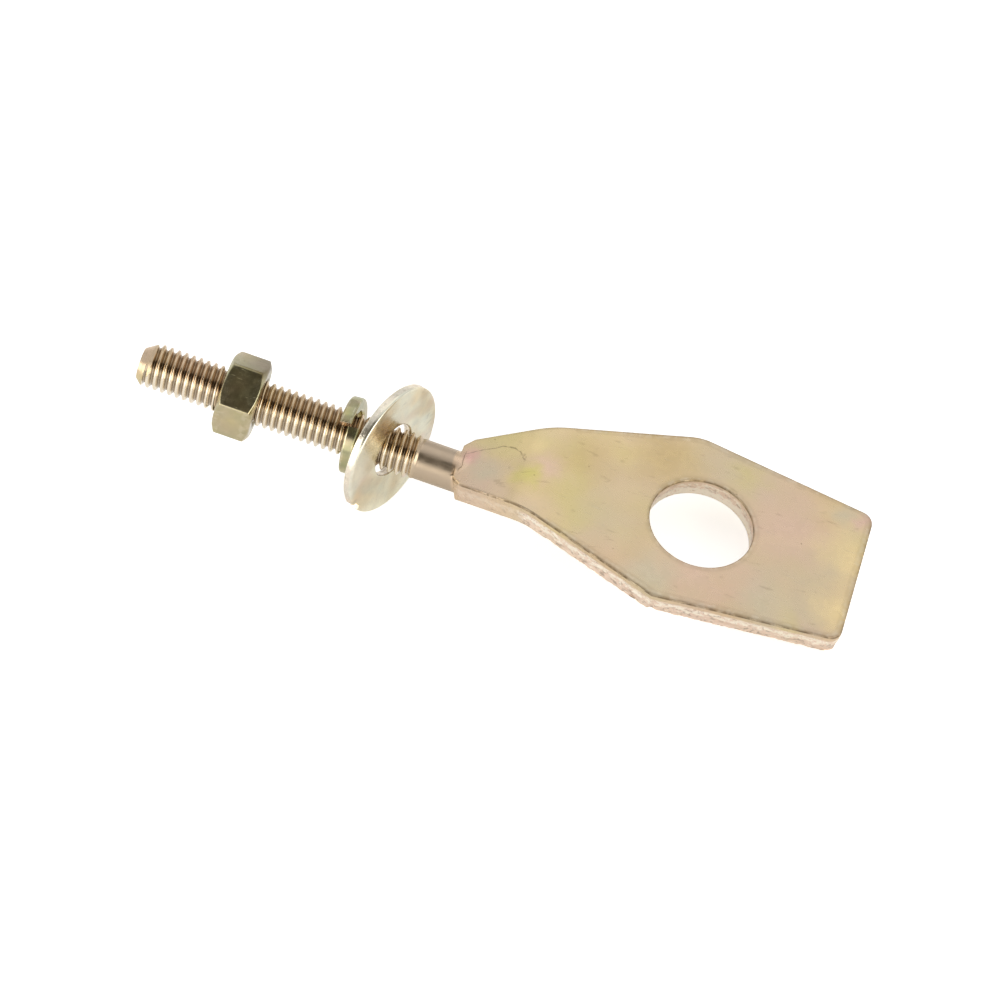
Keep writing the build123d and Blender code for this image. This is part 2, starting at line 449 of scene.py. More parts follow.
def neck_grid(mm):
    """Rings from the flat plate down the slope, where the round shank runs on into the tongue."""
    across, insets, heights = bar_ring(mm)
    path = crank_path(mm)
    along, rise, slope = (path[:, i, None] for i in range(3))
    past = -mm.crank_foot - along
    side = across * (half_width(mm, along - heights * np.sin(slope)) - insets)
    bar = np.hypot(side, heights) * (1 - smooth(past, 0.0, TONGUE_END_R))

    own = np.arctan2(heights, side)
    gap = (RING_TURNS - own + pi) % (2 * pi) - pi
    turned = own + smooth(past, EVEN_FROM, mm.elbow) * gap
    shank = shank_reach(mm, along, rise, slope, turned)
    blend = mm.neck_soft * (1 - smooth(past, SHARPEN_FROM, mm.elbow)) + LEAST_BLEND
    ring = soft_max(bar, shank, blend)
    out, up = ring * np.cos(turned), ring * np.sin(turned)
    return grid_of(along - up * np.sin(slope), out, rise + up * np.cos(slope)), path


# Plate's outline
OUTLINE_STEP = 0.2
ARC_FINER = 1.5  # rounded corners are stepped finer by this
LINE_STEPS, ARC_STEPS = 2, 4  # the fewest on a line and on a rounded corner


def turned_by(heading, angle):
    return np.array([
        heading[0] * cos(angle) - heading[1] * sin(angle),
        heading[0] * sin(angle) + heading[1] * cos(angle),
    ])


def rounded_run(points, radii):
    """Points and outward normals along a run of lines with rounded corners, outside on the left."""
    places, normals = [], []
    corners = np.array(points, float)
    headings = unit(np.diff(corners, axis=0))
    cursor = corners[0]
    for i, radius in enumerate(radii):
        heading = headings[i]
        outward = np.array([-heading[1], heading[0]])
        bend = 0.0
        if i + 1 < len(headings):
            onward = headings[i + 1]
            bend = atan2(heading[0] * onward[1] - heading[1] * onward[0], float(heading @ onward))
        stop = corners[i + 1] - heading * radius * tan(abs(bend) / 2)
        count = max(LINE_STEPS, int(np.linalg.norm(stop - cursor) / OUTLINE_STEP))
        for share in np.linspace(0, 1, count, endpoint=False):
            places.append(cursor + (stop - cursor) * share)
            normals.append(outward)
        cursor = stop
        if radius and bend:
            centre = stop - outward * radius
            count = max(ARC_STEPS, int(radius * abs(bend) / OUTLINE_STEP * ARC_FINER))
            for swing in np.linspace(0, bend, count, endpoint=False):
                normals.append(turned_by(outward, swing))
                places.append(centre + normals[-1] * radius)
            cursor = centre + turned_by(outward, bend) * radius
    return np.array(places), np.array(normals)


def plate_outline(mm):
    """Outline from the neck's +Y side round the tail to its -Y side, with outward normals."""
    points = [
        (-PLATE_START, half_width(mm, -PLATE_START)),
        (-mm.shoulder_back, mm.plate_width / 2),
        (mm.tail_reach, mm.tail_width / 2),
        (mm.tail_reach, 0),
    ]
    far, far_out = rounded_run(points, [mm.far_shoulder_r, mm.tail_corner_r, 0])
    near, near_out = rounded_run(points, [mm.shoulder_r, mm.tail_corner_r, 0])
    far_out[0] = near_out[0] = (0, 1)
    mirror = np.array([1, -1])
    places = np.concatenate([far, [[mm.tail_reach, 0]], near[::-1] * mirror])
    normals = np.concatenate([far_out, [[1, 0]], near_out[::-1] * mirror])
    return places, normals


# Sheared walls: depths are shares of the plate's thickness, from the upper face down
TORN_FROM = (0.22, 0.34)  # where the smooth band gives way to torn metal
BROKE_AT, BROKE_HALF = 0.45, 0.2  # the bright zone where the wall broke: the real break, painted brighter as a highlight
UPPER_EDGE, LOWER_EDGE = 0.2, 0.1
SCALLOPS = ((0.9, 0.22, 0), (2.3, 0.14, 3))  # size, depth and shift of the scallops along the lower edge
SCALLOPS_FULL = 0.2  # above the lower face, where they are at their deepest
SCALLOPS_SET_IN = (1, 8)  # points from the neck
NOTCH_BACK = 2.75  # nick in the near wall beside the shoulder
NOTCH_DEPTH = 0.3
NOTCH_HALF = 0.35
NOTCH_TOP = (0.7, 0.3)  # heights between which it runs out
EDGE_ROWS, END_COLUMNS = 3, 2  # left untorn at the wall's edges and at its ends


def wall_glint(depth):
    """Nearness to the bright zone where a sheared wall broke, which is painted as a highlight."""
    return np.exp(-((depth - BROKE_AT) / BROKE_HALF) ** 2)


def rim_mark(depth):
    """Nearness to the wall's upper and lower edges."""
    return np.clip(np.maximum(1 - depth / UPPER_EDGE, 1 - (1 - depth) / LOWER_EDGE), 0, 1)


def sheared_rims(mm, places, normals):
    """Rows of the outline from the upper face's edge to the lower face's, scalloped and nicked."""
    inset, height = wall_profile(mm)
    flat = grid_of(places[:, 0], places[:, 1], 0.0)
    scallop = sum(np.abs(roughness_of(flat + shift, size, depth)) for size, depth, shift in SCALLOPS)
    order = np.arange(len(places))
    scallop = scallop * smooth(np.minimum(order, order[::-1]), *SCALLOPS_SET_IN)
    notch = NOTCH_DEPTH * np.exp(-((places[:, 0] + NOTCH_BACK) / NOTCH_HALF) ** 2) * (places[:, 1] < 0)
    cut = inset[:, None] + scallop * smooth(height, 0.0, SCALLOPS_FULL - mm.plate_thick / 2)[:, None]
    cut = cut + notch * smooth(height, *NOTCH_TOP)[:, None]
    return places - normals * cut[..., None]


def add_plate_wall(shell, mm, rims, normals):
    """Sheared wall round the plate, torn below its smooth upper band."""
    _, height = wall_profile(mm)
    wall = grid_of(rims[..., 0], rims[..., 1], mm.crank_drop + height[:, None])
    depth = ((height[0] - height) / mm.plate_thick)[:, None]
    torn = smooth(depth, *TORN_FROM)
    loose = np.zeros(wall.shape[:2])
    loose[EDGE_ROWS:-EDGE_ROWS, END_COLUMNS:-END_COLUMNS] = 1
    wall[..., :2] += normals * (torn_depth(wall) * torn * loose)[..., None]
    shell.patch(wall, sheared=torn, edge=rim_mark(depth), depth=depth, glint=wall_glint(depth))


# Faces, rubbed beside the hole and the rim
RUBBED = 0.9
RUB_ROWS = np.array([0.0, 0.3, 0.6, 1.0])

# Axle hole, with the heights of its cut and its tear in half thicknesses
HOLE_ROLL = 0.22
HOLE_BURR = 0.1
BURR_ARC = np.radians([45, 90])
BURR_ABOVE = HOLE_BURR + 0.01  # just above the rounded lower edge
HOLE_TEAR = 0.07  # how far the torn lower part of the wall opens out
CUT_END, TEAR_START = 0.1, -0.05
CUT_ROWS, TEAR_ROWS = 5, 6
CUT_TORN, CUT_FULL = 0.85, 0.6  # how torn the smooth cut looks, and where it is fully so
TEAR_SIZE, TEAR_DEPTH, TEAR_INWARD = 0.5, 0.05, 0.02
HOLE_GLINTS = ((0.1, 0.3, 0.6), (0.5, 0.65, 0.7))  # depths between which the painted glint grows, and by how much; the lower wall's is a painted reflection of the floor


def face_outline(mm, rims, row):
    """Closed outline of a face: its row of the rims, then the points that it shares with the neck."""
    inset, _ = wall_profile(mm)
    fan = np.linspace(-1, 1, TOP_POINTS)[1:-1] * (half_width(mm, -PLATE_START) - inset[row])
    return np.concatenate([rims[row], np.stack([np.full_like(fan, -PLATE_START), fan], axis=-1)])


def add_plate_faces(shell, mm, rims):
    """Upper and lower face in rays from the axle hole to the rim, rubbed beside both."""
    _, height = wall_profile(mm)
    for row, hole_edge in ((0, HOLE_ROLL), (-1, HOLE_BURR + HOLE_TEAR)):
        outer = face_outline(mm, rims, row)
        inner = unit(outer) * (mm.hole_r + hole_edge)
        rubbed = RUB_ROWS[:, None] * RUBBED / np.linalg.norm(outer - inner, axis=1)
        share = np.concatenate([rubbed, 1 - rubbed[::-1]])
        spread = inner + (outer - inner) * share[..., None]
        face = grid_of(spread[..., 0], spread[..., 1], mm.crank_drop + height[row])
        from_hole = np.linalg.norm(spread, axis=-1) - mm.hole_r
        from_rim = np.linalg.norm(outer - spread, axis=-1)
        worn = 1 - np.minimum(from_hole, from_rim) / RUBBED
        worn[:, rims.shape[1]:] = 0
        shell.patch(face, closed=True, edge=np.clip(worn, 0, 1))


def bore_profile(mm):
    """Radius and height down the punched hole's wall: rolled edge, smooth cut, tear and lower edge."""
    half, torn_r = mm.plate_thick / 2, mm.hole_r + HOLE_TEAR
    profile = [(mm.hole_r + HOLE_ROLL * (1 - sin(a)), half - HOLE_ROLL * (1 - cos(a))) for a in ROLL_ARC]
    profile += [(mm.hole_r, h) for h in np.linspace(half - HOLE_ROLL, CUT_END * half, CUT_ROWS)[1:]]
    profile += [(torn_r, h) for h in np.linspace(TEAR_START * half, HOLE_BURR - half, TEAR_ROWS)]
    profile += [(torn_r + HOLE_BURR * (1 - cos(a)), HOLE_BURR * (1 - sin(a)) - half) for a in BURR_ARC]
    return np.array(profile).T


def add_axle_hole(shell, mm, rims):
    """The hole's wall, its rays turning from the upper face's to the lower face's."""
    radius, height = bore_profile(mm)
    half = mm.plate_thick / 2
    lower = np.linspace(0, 1, len(radius))[:, None, None]
    upper_ray, lower_ray = (unit(face_outline(mm, rims, row)) for row in (0, -1))
    heading = unit(upper_ray * (1 - lower) + lower_ray * lower)
    wall = grid_of(*np.moveaxis(heading * radius[:, None, None], -1, 0), mm.crank_drop + height[:, None])
    tear = (height < 0) & (height > BURR_ABOVE - half)
    rough = np.maximum(roughness_of(wall, TEAR_SIZE, TEAR_DEPTH), -TEAR_INWARD) * tear[:, None]
    wall[..., :2] += heading * rough[..., None]
    depth = (half - height) / mm.plate_thick
    torn = np.maximum(tear, CUT_TORN * smooth(height, half - HOLE_ROLL, CUT_FULL * half))
    glint = sum(amount * smooth(depth, low, high) for low, high, amount in HOLE_GLINTS)
    marks = {"sheared": torn, "edge": rim_mark(depth), "depth": depth, "glint": glint}
    shell.patch(wall, closed=True, **{mark: values[:, None] for mark, values in marks.items()})


def add_plate(shell, mm):
    """Flat part of the plate: its sheared wall, two faces and the axle hole's wall."""
    places, normals = plate_outline(mm)
    rims = sheared_rims(mm, places, normals)
    add_plate_wall(shell, mm, rims, normals)
    add_plate_faces(shell, mm, rims)
    add_axle_hole(shell, mm, rims)


# Marks along the neck, from the stations that are named
TONGUE_TORN = (-0.3, 0.6)  # torn walls set in at the tongue's end
CRANK_TORN = (-1.2, 0.6)  # and are fully torn from the top of the crank
SLOPE_TORN = 0.25  # how torn they are on the slope
TIP_EDGED = (-0.2, 0.1)  # edges set in at the tongue's tip
SHANK_SHOWS = (0.3, 0.8)  # the shank's tint sets in past the crank's foot
NECK_TRIM = 2  # points left untorn at the walls' edges, and rings at the plate


def wall_mask(trim):
    """Which points of the neck's ring lie on its walls, without some at each edge."""
    mask = np.zeros(RING_POINTS)
    for first in (TOP_POINTS, RING_POINTS - WALL_POINTS):
        mask[first + trim:first + WALL_POINTS - trim] = 1
    return mask


def add_neck(shell, mm):
    """Cranked neck and the plain shank's beginning; gives the station where it ends."""
    neck, path = neck_grid(mm)
    _, _, height = bar_ring(mm)
    depth = (mm.plate_thick / 2 - height) / mm.plate_thick
    on_wall = wall_mask(0)
    along = path[:, 0, None]
    tongue = smooth(along + mm.tongue_end, *TONGUE_TORN)
    slope = SLOPE_TORN + (1 - SLOPE_TORN) * smooth(along + mm.crank_top, *CRANK_TORN)
    torn = smooth(depth, *TORN_FROM) * on_wall * tongue * slope
    edge = rim_mark(depth) * on_wall * smooth(along + mm.tongue_tip, *TIP_EDGED)
    loose = wall_mask(NECK_TRIM) * np.ones((len(path), 1))
    loose[:NECK_TRIM] = 0
    neck[..., 1] += np.sign(neck[..., 1]) * torn_depth(neck) * torn * loose
    shell.patch(
        neck, closed=True, sheared=torn, edge=edge, depth=depth, glint=wall_glint(depth),
        shank=smooth(-mm.crank_foot - along, *SHANK_SHOWS),
    )
    return path[-1, 0]


# Stud
SHANK_RINGS = 12
RUN_OUT = 1.3  # length over which the thread fades into the shank
RUN_OUT_PAST = 0.4  # how far past the first full thread it reaches
POINT_REACH = 1.3  # length of the ground point
POINT_OBLIQUE = 0.7  # longer on top by this, shorter underneath
POINT_DEEPER = 0.35  # deeper on top by this, shallower underneath
POINT_SUNK = 0.08  # how far the end face falls back underneath
POINT_CLEAR = 0.05  # below the ground point by this, the thread has its full tint
# Crests rubbed bare, which also paints a highlight along them
CREST_FROM, CREST_WORN = 0.8, 0.6
END_FACE = np.array([(1, 0), (0.93, 0), (0.6, 0.02), (0.25, 0.05), (0, 0.06)])  # share out, and hollow


def add_stud(shell, mm, shank_start):
    """Plain shank, thread with its run-out, ground point and end face."""
    shank_end = -mm.thread_start + RUN_OUT
    shank = np.linspace(shank_start, shank_end, SHANK_RINGS)[:, None]
    shell.patch(about_stud(shank, mm.shank_r, RING_TURNS), closed=True, shank=1.0)

    along, heights = thread_rows(mm, -mm.stud_end, shank_end, RING_TURNS)
    fade = smooth(along, -mm.thread_start - RUN_OUT_PAST, shank_end)
    radius = (mm.thread_root + heights * mm.thread_depth) * (1 - fade) + mm.shank_r * fade
    upward = np.sin(RING_TURNS)
    point_reach = POINT_REACH + POINT_OBLIQUE * upward
    point_depth = mm.point_chamfer + POINT_DEEPER * upward
    end_sunk = POINT_SUNK * (1 - upward) / 2
    along = np.maximum(along, end_sunk - mm.stud_end)
    point_r = mm.thread_r - point_depth * (1 - (along + mm.stud_end - end_sunk) / point_reach)
    radius = np.minimum(radius, point_r)
    # The valley mark paints shade in the thread's roots
    shell.patch(
        about_stud(along, radius, RING_TURNS), closed=True, shift=len(THREAD_ROWS), shank=fade,
        valley=(1 - heights) * (1 - fade) * (point_r > radius),
        edge=CREST_WORN * smooth(heights, CREST_FROM, 1.0) * (1 - fade),
        thread=(1 - fade) * smooth(point_r - radius, 0.0, POINT_CLEAR),
    )

    share, hollow = END_FACE.T[..., None]
    sunk = hollow + POINT_SUNK / 2 + (end_sunk - POINT_SUNK / 2) * share
    end = about_stud(sunk - mm.stud_end, (mm.thread_r - point_depth) * share, RING_TURNS)
    shell.patch(end[:, ::-1], closed=True, sheared=1.0)


def build_bolt(mm):
    shell = Shell("sheared", "glint", "edge", "depth", "valley", "thread", "shank")
    add_plate(shell, mm)
    shank_start = add_neck(shell, mm)
    add_stud(shell, mm, shank_start)
    return shell


# Nut
NUT_CHAMFER = radians(30)
NUT_FACE = 0.95  # end face's diameter as a share of the flats
NUT_CORNER_R = 0.45
NUT_MOUTH = 0.35
NUT_SOFT = 0.12  # rounding of its edges
MOST_ROUNDED = 0.45  # share of a short side that a rounding may take up
FLAT_COLUMNS = 15
CORNER_SWINGS = np.radians([-15, 0, 15])
FLAT_FROM = 6  # the row where the flats begin
FLAT_ROWS = 8
WORN_ROWS = slice(1, 8)  # rows from each end that are rubbed
ROWS_WORN = 0.9
CORNER_WORN = 0.16  # how far in from the corners they are rubbed


def soften(points, amount):
    """Rounds the inner corners of runs of points, given as corners by columns by (along, radius)."""
    rows = [points[0]]
    for before, at, after in zip(points[:-2], points[1:-1], points[2:]):
        near, far = (
            at + side * np.minimum(MOST_ROUNDED, amount / np.linalg.norm(side, axis=-1))[:, None]
            for side in (before - at, after - at)
        )
        rows += [near, (near + 2 * at + far) / 4, far]
    return np.array(rows + [points[-1]])


def nut_columns(mm):
    """Angles and radii round the hexagon, its corners slightly rounded."""
    half = mm.nut_flats / 2
    centre = (half - NUT_CORNER_R) / cos(pi / 6)
    flat_end = atan2((half - NUT_CORNER_R) * tan(pi / 6), half)
    turns, radii = [], []
    for middle in np.arange(6) * pi / 3:
        for swing in np.linspace(-flat_end, flat_end, FLAT_COLUMNS):
            turns.append(middle + swing)
            radii.append(half / cos(swing))
        for swing in CORNER_SWINGS:
            out, side = centre + NUT_CORNER_R * cos(swing), NUT_CORNER_R * sin(swing)
            turns.append(middle + pi / 6 + atan2(side, out))
            radii.append(hypot(out, side))
    return np.array(turns), np.array(radii)


def build_nut(mm):
    """Hexagon nut with turned-back corners, countersunk mouths and a thread that fits the stud's."""
    shell = Shell("edge", "valley")
    turns, radii = nut_columns(mm)
    turns = turns + pi / 2 + mm.nut_turn
    end = mm.nut_height / 2
    face_r = NUT_FACE * mm.nut_flats / 2
    mouth_r = mm.thread_r + mm.nut_play + NUT_MOUTH
    back_off = (radii - face_r) * tan(NUT_CHAMFER)
    half_run = np.array([grid_of(along, radius, 0.0)[..., :2] for along, radius in (
        (np.full_like(radii, -end), mouth_r), (np.full_like(radii, -end), face_r), (back_off - end, radii)
    )])
    rounded = soften(np.concatenate([half_run, half_run[::-1] * (-1, 1)]), NUT_SOFT)
    flats = np.linspace(rounded[FLAT_FROM], rounded[FLAT_FROM + 1], FLAT_ROWS)[1:-1]
    rounded = np.concatenate([rounded[:FLAT_FROM + 1], flats, rounded[FLAT_FROM + 1:]])
    along, radius = rounded[..., 0], rounded[..., 1]
    worn = np.zeros(along.shape)
    worn[WORN_ROWS] = worn[::-1][WORN_ROWS] = ROWS_WORN
    to_corner = 1 - smooth(radii.max() - radii, 0.0, CORNER_WORN)
    outside = about_stud(along - mm.nut_back, radius, turns)
    shell.patch(outside, closed=True, edge=np.maximum(worn, to_corner))

    low, high = -mm.nut_back - end, -mm.nut_back + end
    lap = np.sort(turns)
    along, heights = thread_rows(mm, low, high, lap)
    inner = mm.thread_root + heights * mm.thread_depth + mm.nut_play
    radius = np.maximum(inner, mouth_r - np.minimum(along - low, high - along))
    # Marked as valley all over, so the whole bore is painted shaded
    shell.patch(about_stud(along, radius, lap), closed=True, shift=len(THREAD_ROWS), valley=1.0)
    return shell


def ring_axes(along, lean_y, turn_z):
    """Axes of a ring on the stud, its own Z along the stud and its own X across the plate."""
    stand = Matrix(((0, 0, 1), (1, 0, 0), (0, 1, 0))).to_4x4()
    lean = Matrix.Rotation(lean_y, 4, "Y") @ Matrix.Rotation(turn_z, 4, "Z")
    return Matrix.Translation((along * MM, 0, 0)) @ lean @ stand


# Plain washer: how worn and how torn each part of its section is
WASHER_COLUMNS = 300
WALL_ROWS, FACE_ROWS = 6, 14
STAMPED_ARC = np.radians([90, 67.5, 45, 22.5, 0])
STAMPED, RIM_WALL, BORE_WALL, FACE = (0.6, 0), (0.2, 0.4), (0.2, 0.6), (0, 0)
BURR_TIP, BURR_FOOT = (1, 0), (0.8, 0)
WASHER_BURR = 0.1
BURR_CORNER = 0.3 * WASHER_BURR
WALL_ROUGH_SIZE, WALL_ROUGH_DEPTH = 0.6, 0.03
NICK_TURN = radians(-155)  # nick in the rim, low on the near side
NICK_HALF, NICK_SIDE = radians(4), radians(1.2)
NICK_DEPTH = 0.6
NICK_REACH = (1.0, 0.3)  # in from the rim, where it begins and where it is full


def build_flat_washer(mm):
    """Stamped ring: rounded over on one face, torn and slightly burred on the other."""
    shell = Shell("sheared", "edge")
    turns = np.linspace(0, 2 * pi, WASHER_COLUMNS, endpoint=False)
    half, edge, burr, corner = mm.washer_thick / 2, mm.washer_edge, WASHER_BURR, BURR_CORNER
    outer, inner = mm.washer_od / 2, mm.washer_id / 2
    arc = [(edge * (1 - cos(a)), half - edge * (1 - sin(a))) for a in STAMPED_ARC]
    down = np.linspace(half - edge, burr - half, WALL_ROWS)
    run = [(outer - inset, level, *STAMPED) for inset, level in arc]
    run += [(outer, level, *RIM_WALL) for level in down[1:]]
    run += [(outer - corner, corner - half, *BURR_TIP), (outer - burr, -half, *BURR_FOOT)]
    run += [(radius, -half, *FACE) for radius in np.linspace(outer - burr, inner + burr, FACE_ROWS)[1:-1]]
    run += [(inner + burr, -half, *BURR_FOOT), (inner + corner, corner - half, *BURR_TIP)]
    run += [(inner, level, *BORE_WALL) for level in down[::-1]]
    run += [(inner + inset, level, *STAMPED) for inset, level in arc[::-1][1:]]
    run += [(radius, half, *FACE) for radius in np.linspace(inner + edge, outer - edge, FACE_ROWS)[1:-1]]
    radius, level, worn, torn = np.array(run + run[:1]).T[..., None]
    ring = grid_of(radius * np.cos(turns), radius * np.sin(turns), level)
    rough = np.minimum(roughness_of(ring, WALL_ROUGH_SIZE, WALL_ROUGH_DEPTH), 0) * torn
    from_nick = np.abs((turns - NICK_TURN + pi) % (2 * pi) - pi)
    nick = 1 - smooth(from_nick, NICK_HALF, NICK_HALF + NICK_SIDE)
    rough = rough - NICK_DEPTH * nick * smooth(outer - radius, *NICK_REACH)
    ring[..., 0] += rough * np.cos(turns)
    ring[..., 1] += rough * np.sin(turns)
    shell.patch(ring, closed=True, edge=worn, sheared=torn)
    return shell


# Split washer
SPRING_COLUMNS = 150
SPRING_CORNER = 0.3
SIDE_POINTS = 5  # along each side of the section, between its rounded corners
CUT_SHARES = np.array([1, 0.9, 0.5, 0.0])
CUT_ROWS_TORN = np.array([0.3, 1, 1, 1])


def build_spring_washer(mm):
    """Split ring wound left-handed, with plain sheared ends."""
    shell = Shell("sheared", "edge")
    out, up = mm.spring_width / 2 - SPRING_CORNER, mm.spring_thick / 2 - SPRING_CORNER
    arcs = []
    for i, centre in enumerate(((out, up), (-out, up), (-out, -up), (out, -up))):
        swing = ROLL_ARC + i * pi / 2
        arcs.append(centre + SPRING_CORNER * np.stack([np.cos(swing), np.sin(swing)], axis=-1))
    section = []
    for arc, after in zip(arcs, arcs[1:] + arcs[:1]):
        section += [arc, np.linspace(arc[-1], after[0], SIDE_POINTS + 2)[1:-1]]
    across, lift = np.concatenate(section).T
    worn = np.tile(np.repeat([1.0, 0.0], [len(ROLL_ARC), SIDE_POINTS]), len(arcs))

    share = np.linspace(0, 1, SPRING_COLUMNS)[:, None]
    turns = pi / 2 + mm.spring_cut_turn - mm.spring_cut / 2 - (2 * pi - mm.spring_cut) * share
    radius = (mm.spring_id + mm.spring_od) / 4 + across
    level = mm.spring_rise * (share - 0.5) + lift
    coil = grid_of(radius * np.cos(turns), radius * np.sin(turns), level)
    shell.patch(coil, closed=True, edge=worn)
    for cut in (coil[0], coil[-1]):
        centre = cut.mean(0)
        cap = centre + (cut - centre) * CUT_SHARES[:, None, None]
        shell.patch(cap, closed=True, sheared=CUT_ROWS_TORN[:, None])
    return shell


def feed(tree, made, inputs):
    """Links or sets a node's inputs."""
    for key, value in inputs.items():
        socket = made.inputs[key]
        if isinstance(value, bpy.types.NodeSocket):
            tree.links.new(value, socket)
        else:
            socket.default_value = (*value, 1) if socket.type == "RGBA" else value


def node(tree, kind, inputs=None, **settings):
    """Adds a shader node, sets what it is and feeds it."""
    made = tree.nodes.new("ShaderNode" + kind)
    for name, value in settings.items():
        setattr(made, name, value)
    feed(tree, made, inputs or {})
    return made


def maths(tree, operation, first, second=0.0):
    return node(tree, "Math", {0: first, 1: second}, operation=operation).outputs[0]


def product(tree, *factors):
    result = factors[0]
    for factor in factors[1:]:
        result = maths(tree, "MULTIPLY", result, factor)
    return result


def added(tree, value, amount, base):
    """A base with an amount of a value added."""
    return node(tree, "Math", {0: value, 1: amount, 2: base}, operation="MULTIPLY_ADD").outputs[0]


def vectors(tree, operation, first, second=(0, 0, 0)):
    """Vector arithmetic, of which a dot product and a distance give a number."""
    made = node(tree, "VectorMath", {0: first, 1: second}, operation=operation)
    return made.outputs["Value" if operation in ("DOT_PRODUCT", "DISTANCE") else "Vector"]


def blend_colour(tree, factor, first, second, blend="MIX"):
    made = node(tree, "Mix", {0: factor, 6: first, 7: second}, data_type="RGBA", blend_type=blend)
    return made.outputs[2]


def ranged(tree, value, low, high, to=(0.0, 1.0)):
    """Eases between two values as another goes from low to high."""
    inputs = {0: value, 1: low, 2: high, 3: to[0], 4: to[1]}
    return node(tree, "MapRange", inputs, interpolation_type="SMOOTHSTEP").outputs[0]


def band(tree, value, centre, width):
    """One at a value's centre, fading to nothing at the width either side."""
    away = maths(tree, "ABSOLUTE", maths(tree, "SUBTRACT", value, centre))
    return ranged(tree, away, width, 0.0)


def grain(tree, place, scale, detail, distortion=0.0):
    inputs = {"Vector": place, "Scale": scale, "Detail": detail, "Distortion": distortion}
    return node(tree, "TexNoise", inputs).outputs[0]


def moved(tree, place, shift, scale=(1, 1, 1), turned=0.0):
    """A place moved and stretched, and turned about Z, so that one grain doesn't repeat another."""
    inputs = {"Vector": place, "Location": shift, "Scale": scale, "Rotation": (0, 0, turned)}
    return node(tree, "Mapping", inputs).outputs[0]


# Effects: node groups that are given a place on the piece in millimetres, with other inputs by name
FILM_TINTS = ("Sage", "Rose", "Straw", "Olive", "Lime")
COLOURS = ("Colour", "Base", *FILM_TINTS, "Copper", "Pale", "Grey")


def new_group(label, inputs, outputs):
    """An empty node group, the sockets that it is given and its output node."""
    group = bpy.data.node_groups.new(label, "ShaderNodeTree")
    sockets = [(name, "INPUT") for name in ("Place", *inputs)] + [(name, "OUTPUT") for name in outputs]
    for name, way in sockets:
        kind = "Vector" if name == "Place" else "Color" if name in COLOURS else "Float"
        group.interface.new_socket(name=name, in_out=way, socket_type="NodeSocket" + kind)
    return group, group.nodes.new("NodeGroupInput").outputs, group.nodes.new("NodeGroupOutput")


def film_group(label):
    """Chromate film: soft clouds of its tints over the base, finely mottled."""
    group, given, out = new_group(label, ("Base", *FILM_TINTS, "Patches", "Strength"), ("Colour", "Cloud"))
    tint = given["Base"]
    for i, name in enumerate(FILM_TINTS):
        drift = moved(group, given["Place"], (31 * i, 17 * i, 5 * i))
        patch = grain(group, drift, given["Patches"], detail=1.5, distortion=0.4)
        amount = product(group, ranged(group, patch, 0.48, 0.74), given["Strength"])
        tint = blend_colour(group, amount, tint, given[name])
    cloud = grain(group, given["Place"], scale=1.1, detail=4.0, distortion=0.4)
    shade = ranged(group, cloud, 0.3, 0.7, to=(0.95, 1.04))
    feed(group, out, {
        "Colour": blend_colour(group, 1.0, tint, shade, "MULTIPLY"),
        "Cloud": ranged(group, cloud, 0.3, 0.7),
    })
    return group


PIT_REACH, PIT_EDGE = 0.14, -0.06
SCRATCHES = ((0.5, 5.0), (-0.7, 23.0), (1.9, 41.0))  # turn and shift of each set
SCRATCH_DRAWN = (0.35, 7.0, 7.0)


def marks_group(label):
    """Handling marks: scattered pits, short scratches, faint smudges and the metal's grain."""
    group, given, out = new_group(label, ("Pits", "Scratches"), ("Height", "Dark", "Scratch"))
    place = given["Place"]
    cells = node(group, "TexVoronoi", {"Vector": place, "Scale": 0.9}).outputs
    pick = node(group, "TexWhiteNoise", {"Vector": cells["Position"]}).outputs["Value"]
    reach = product(group, ranged(group, pick, given["Pits"], 0.0), PIT_REACH)
    pit = ranged(group, maths(group, "SUBTRACT", cells["Distance"], reach), 0.0, PIT_EDGE)
    scratch = 0.0
    for turned, shift in SCRATCHES:
        along = moved(group, place, (shift, shift, 0), SCRATCH_DRAWN, turned)
        line = ranged(group, grain(group, along, scale=1.0, detail=1.5, distortion=0.15), 0.69, 0.75)
        scratch = maths(group, "MAXIMUM", scratch, line)
    gaps = grain(group, moved(group, place, (3, 9, 1)), scale=0.5, detail=2.0)
    scratch = product(group, scratch, ranged(group, gaps, 0.45, 0.6), given["Scratches"])
    stretched = moved(group, place, (17, 2, 6), (0.5, 1.4, 1.0), turned=-0.25)
    smudge = ranged(group, grain(group, stretched, scale=0.8, detail=4.0, distortion=0.5), 0.62, 0.74)
    fine = product(group, grain(group, place, scale=2.2, detail=3.0), 0.12)
    feed(group, out, {
        "Height": maths(group, "SUBTRACT", fine, added(group, scratch, 0.6, pit)),
        "Dark": maths(group, "MAXIMUM", product(group, pit, 0.8), product(group, smudge, 0.4)),
        "Scratch": scratch,
    })
    return group


def wear_group(label):
    """Edge wear: the rubbed edge, broken up by a grain."""
    group, given, out = new_group(label, ("Edge", "Amount"), ("Worn",))
    uneven = grain(group, given["Place"], scale=1.3, detail=4.0, distortion=0.3)
    reach = product(group, given["Edge"], ranged(group, uneven, 0.36, 0.66))
    feed(group, out, {"Worn": product(group, ranged(group, reach, 0.1, 0.8), given["Amount"])})
    return group


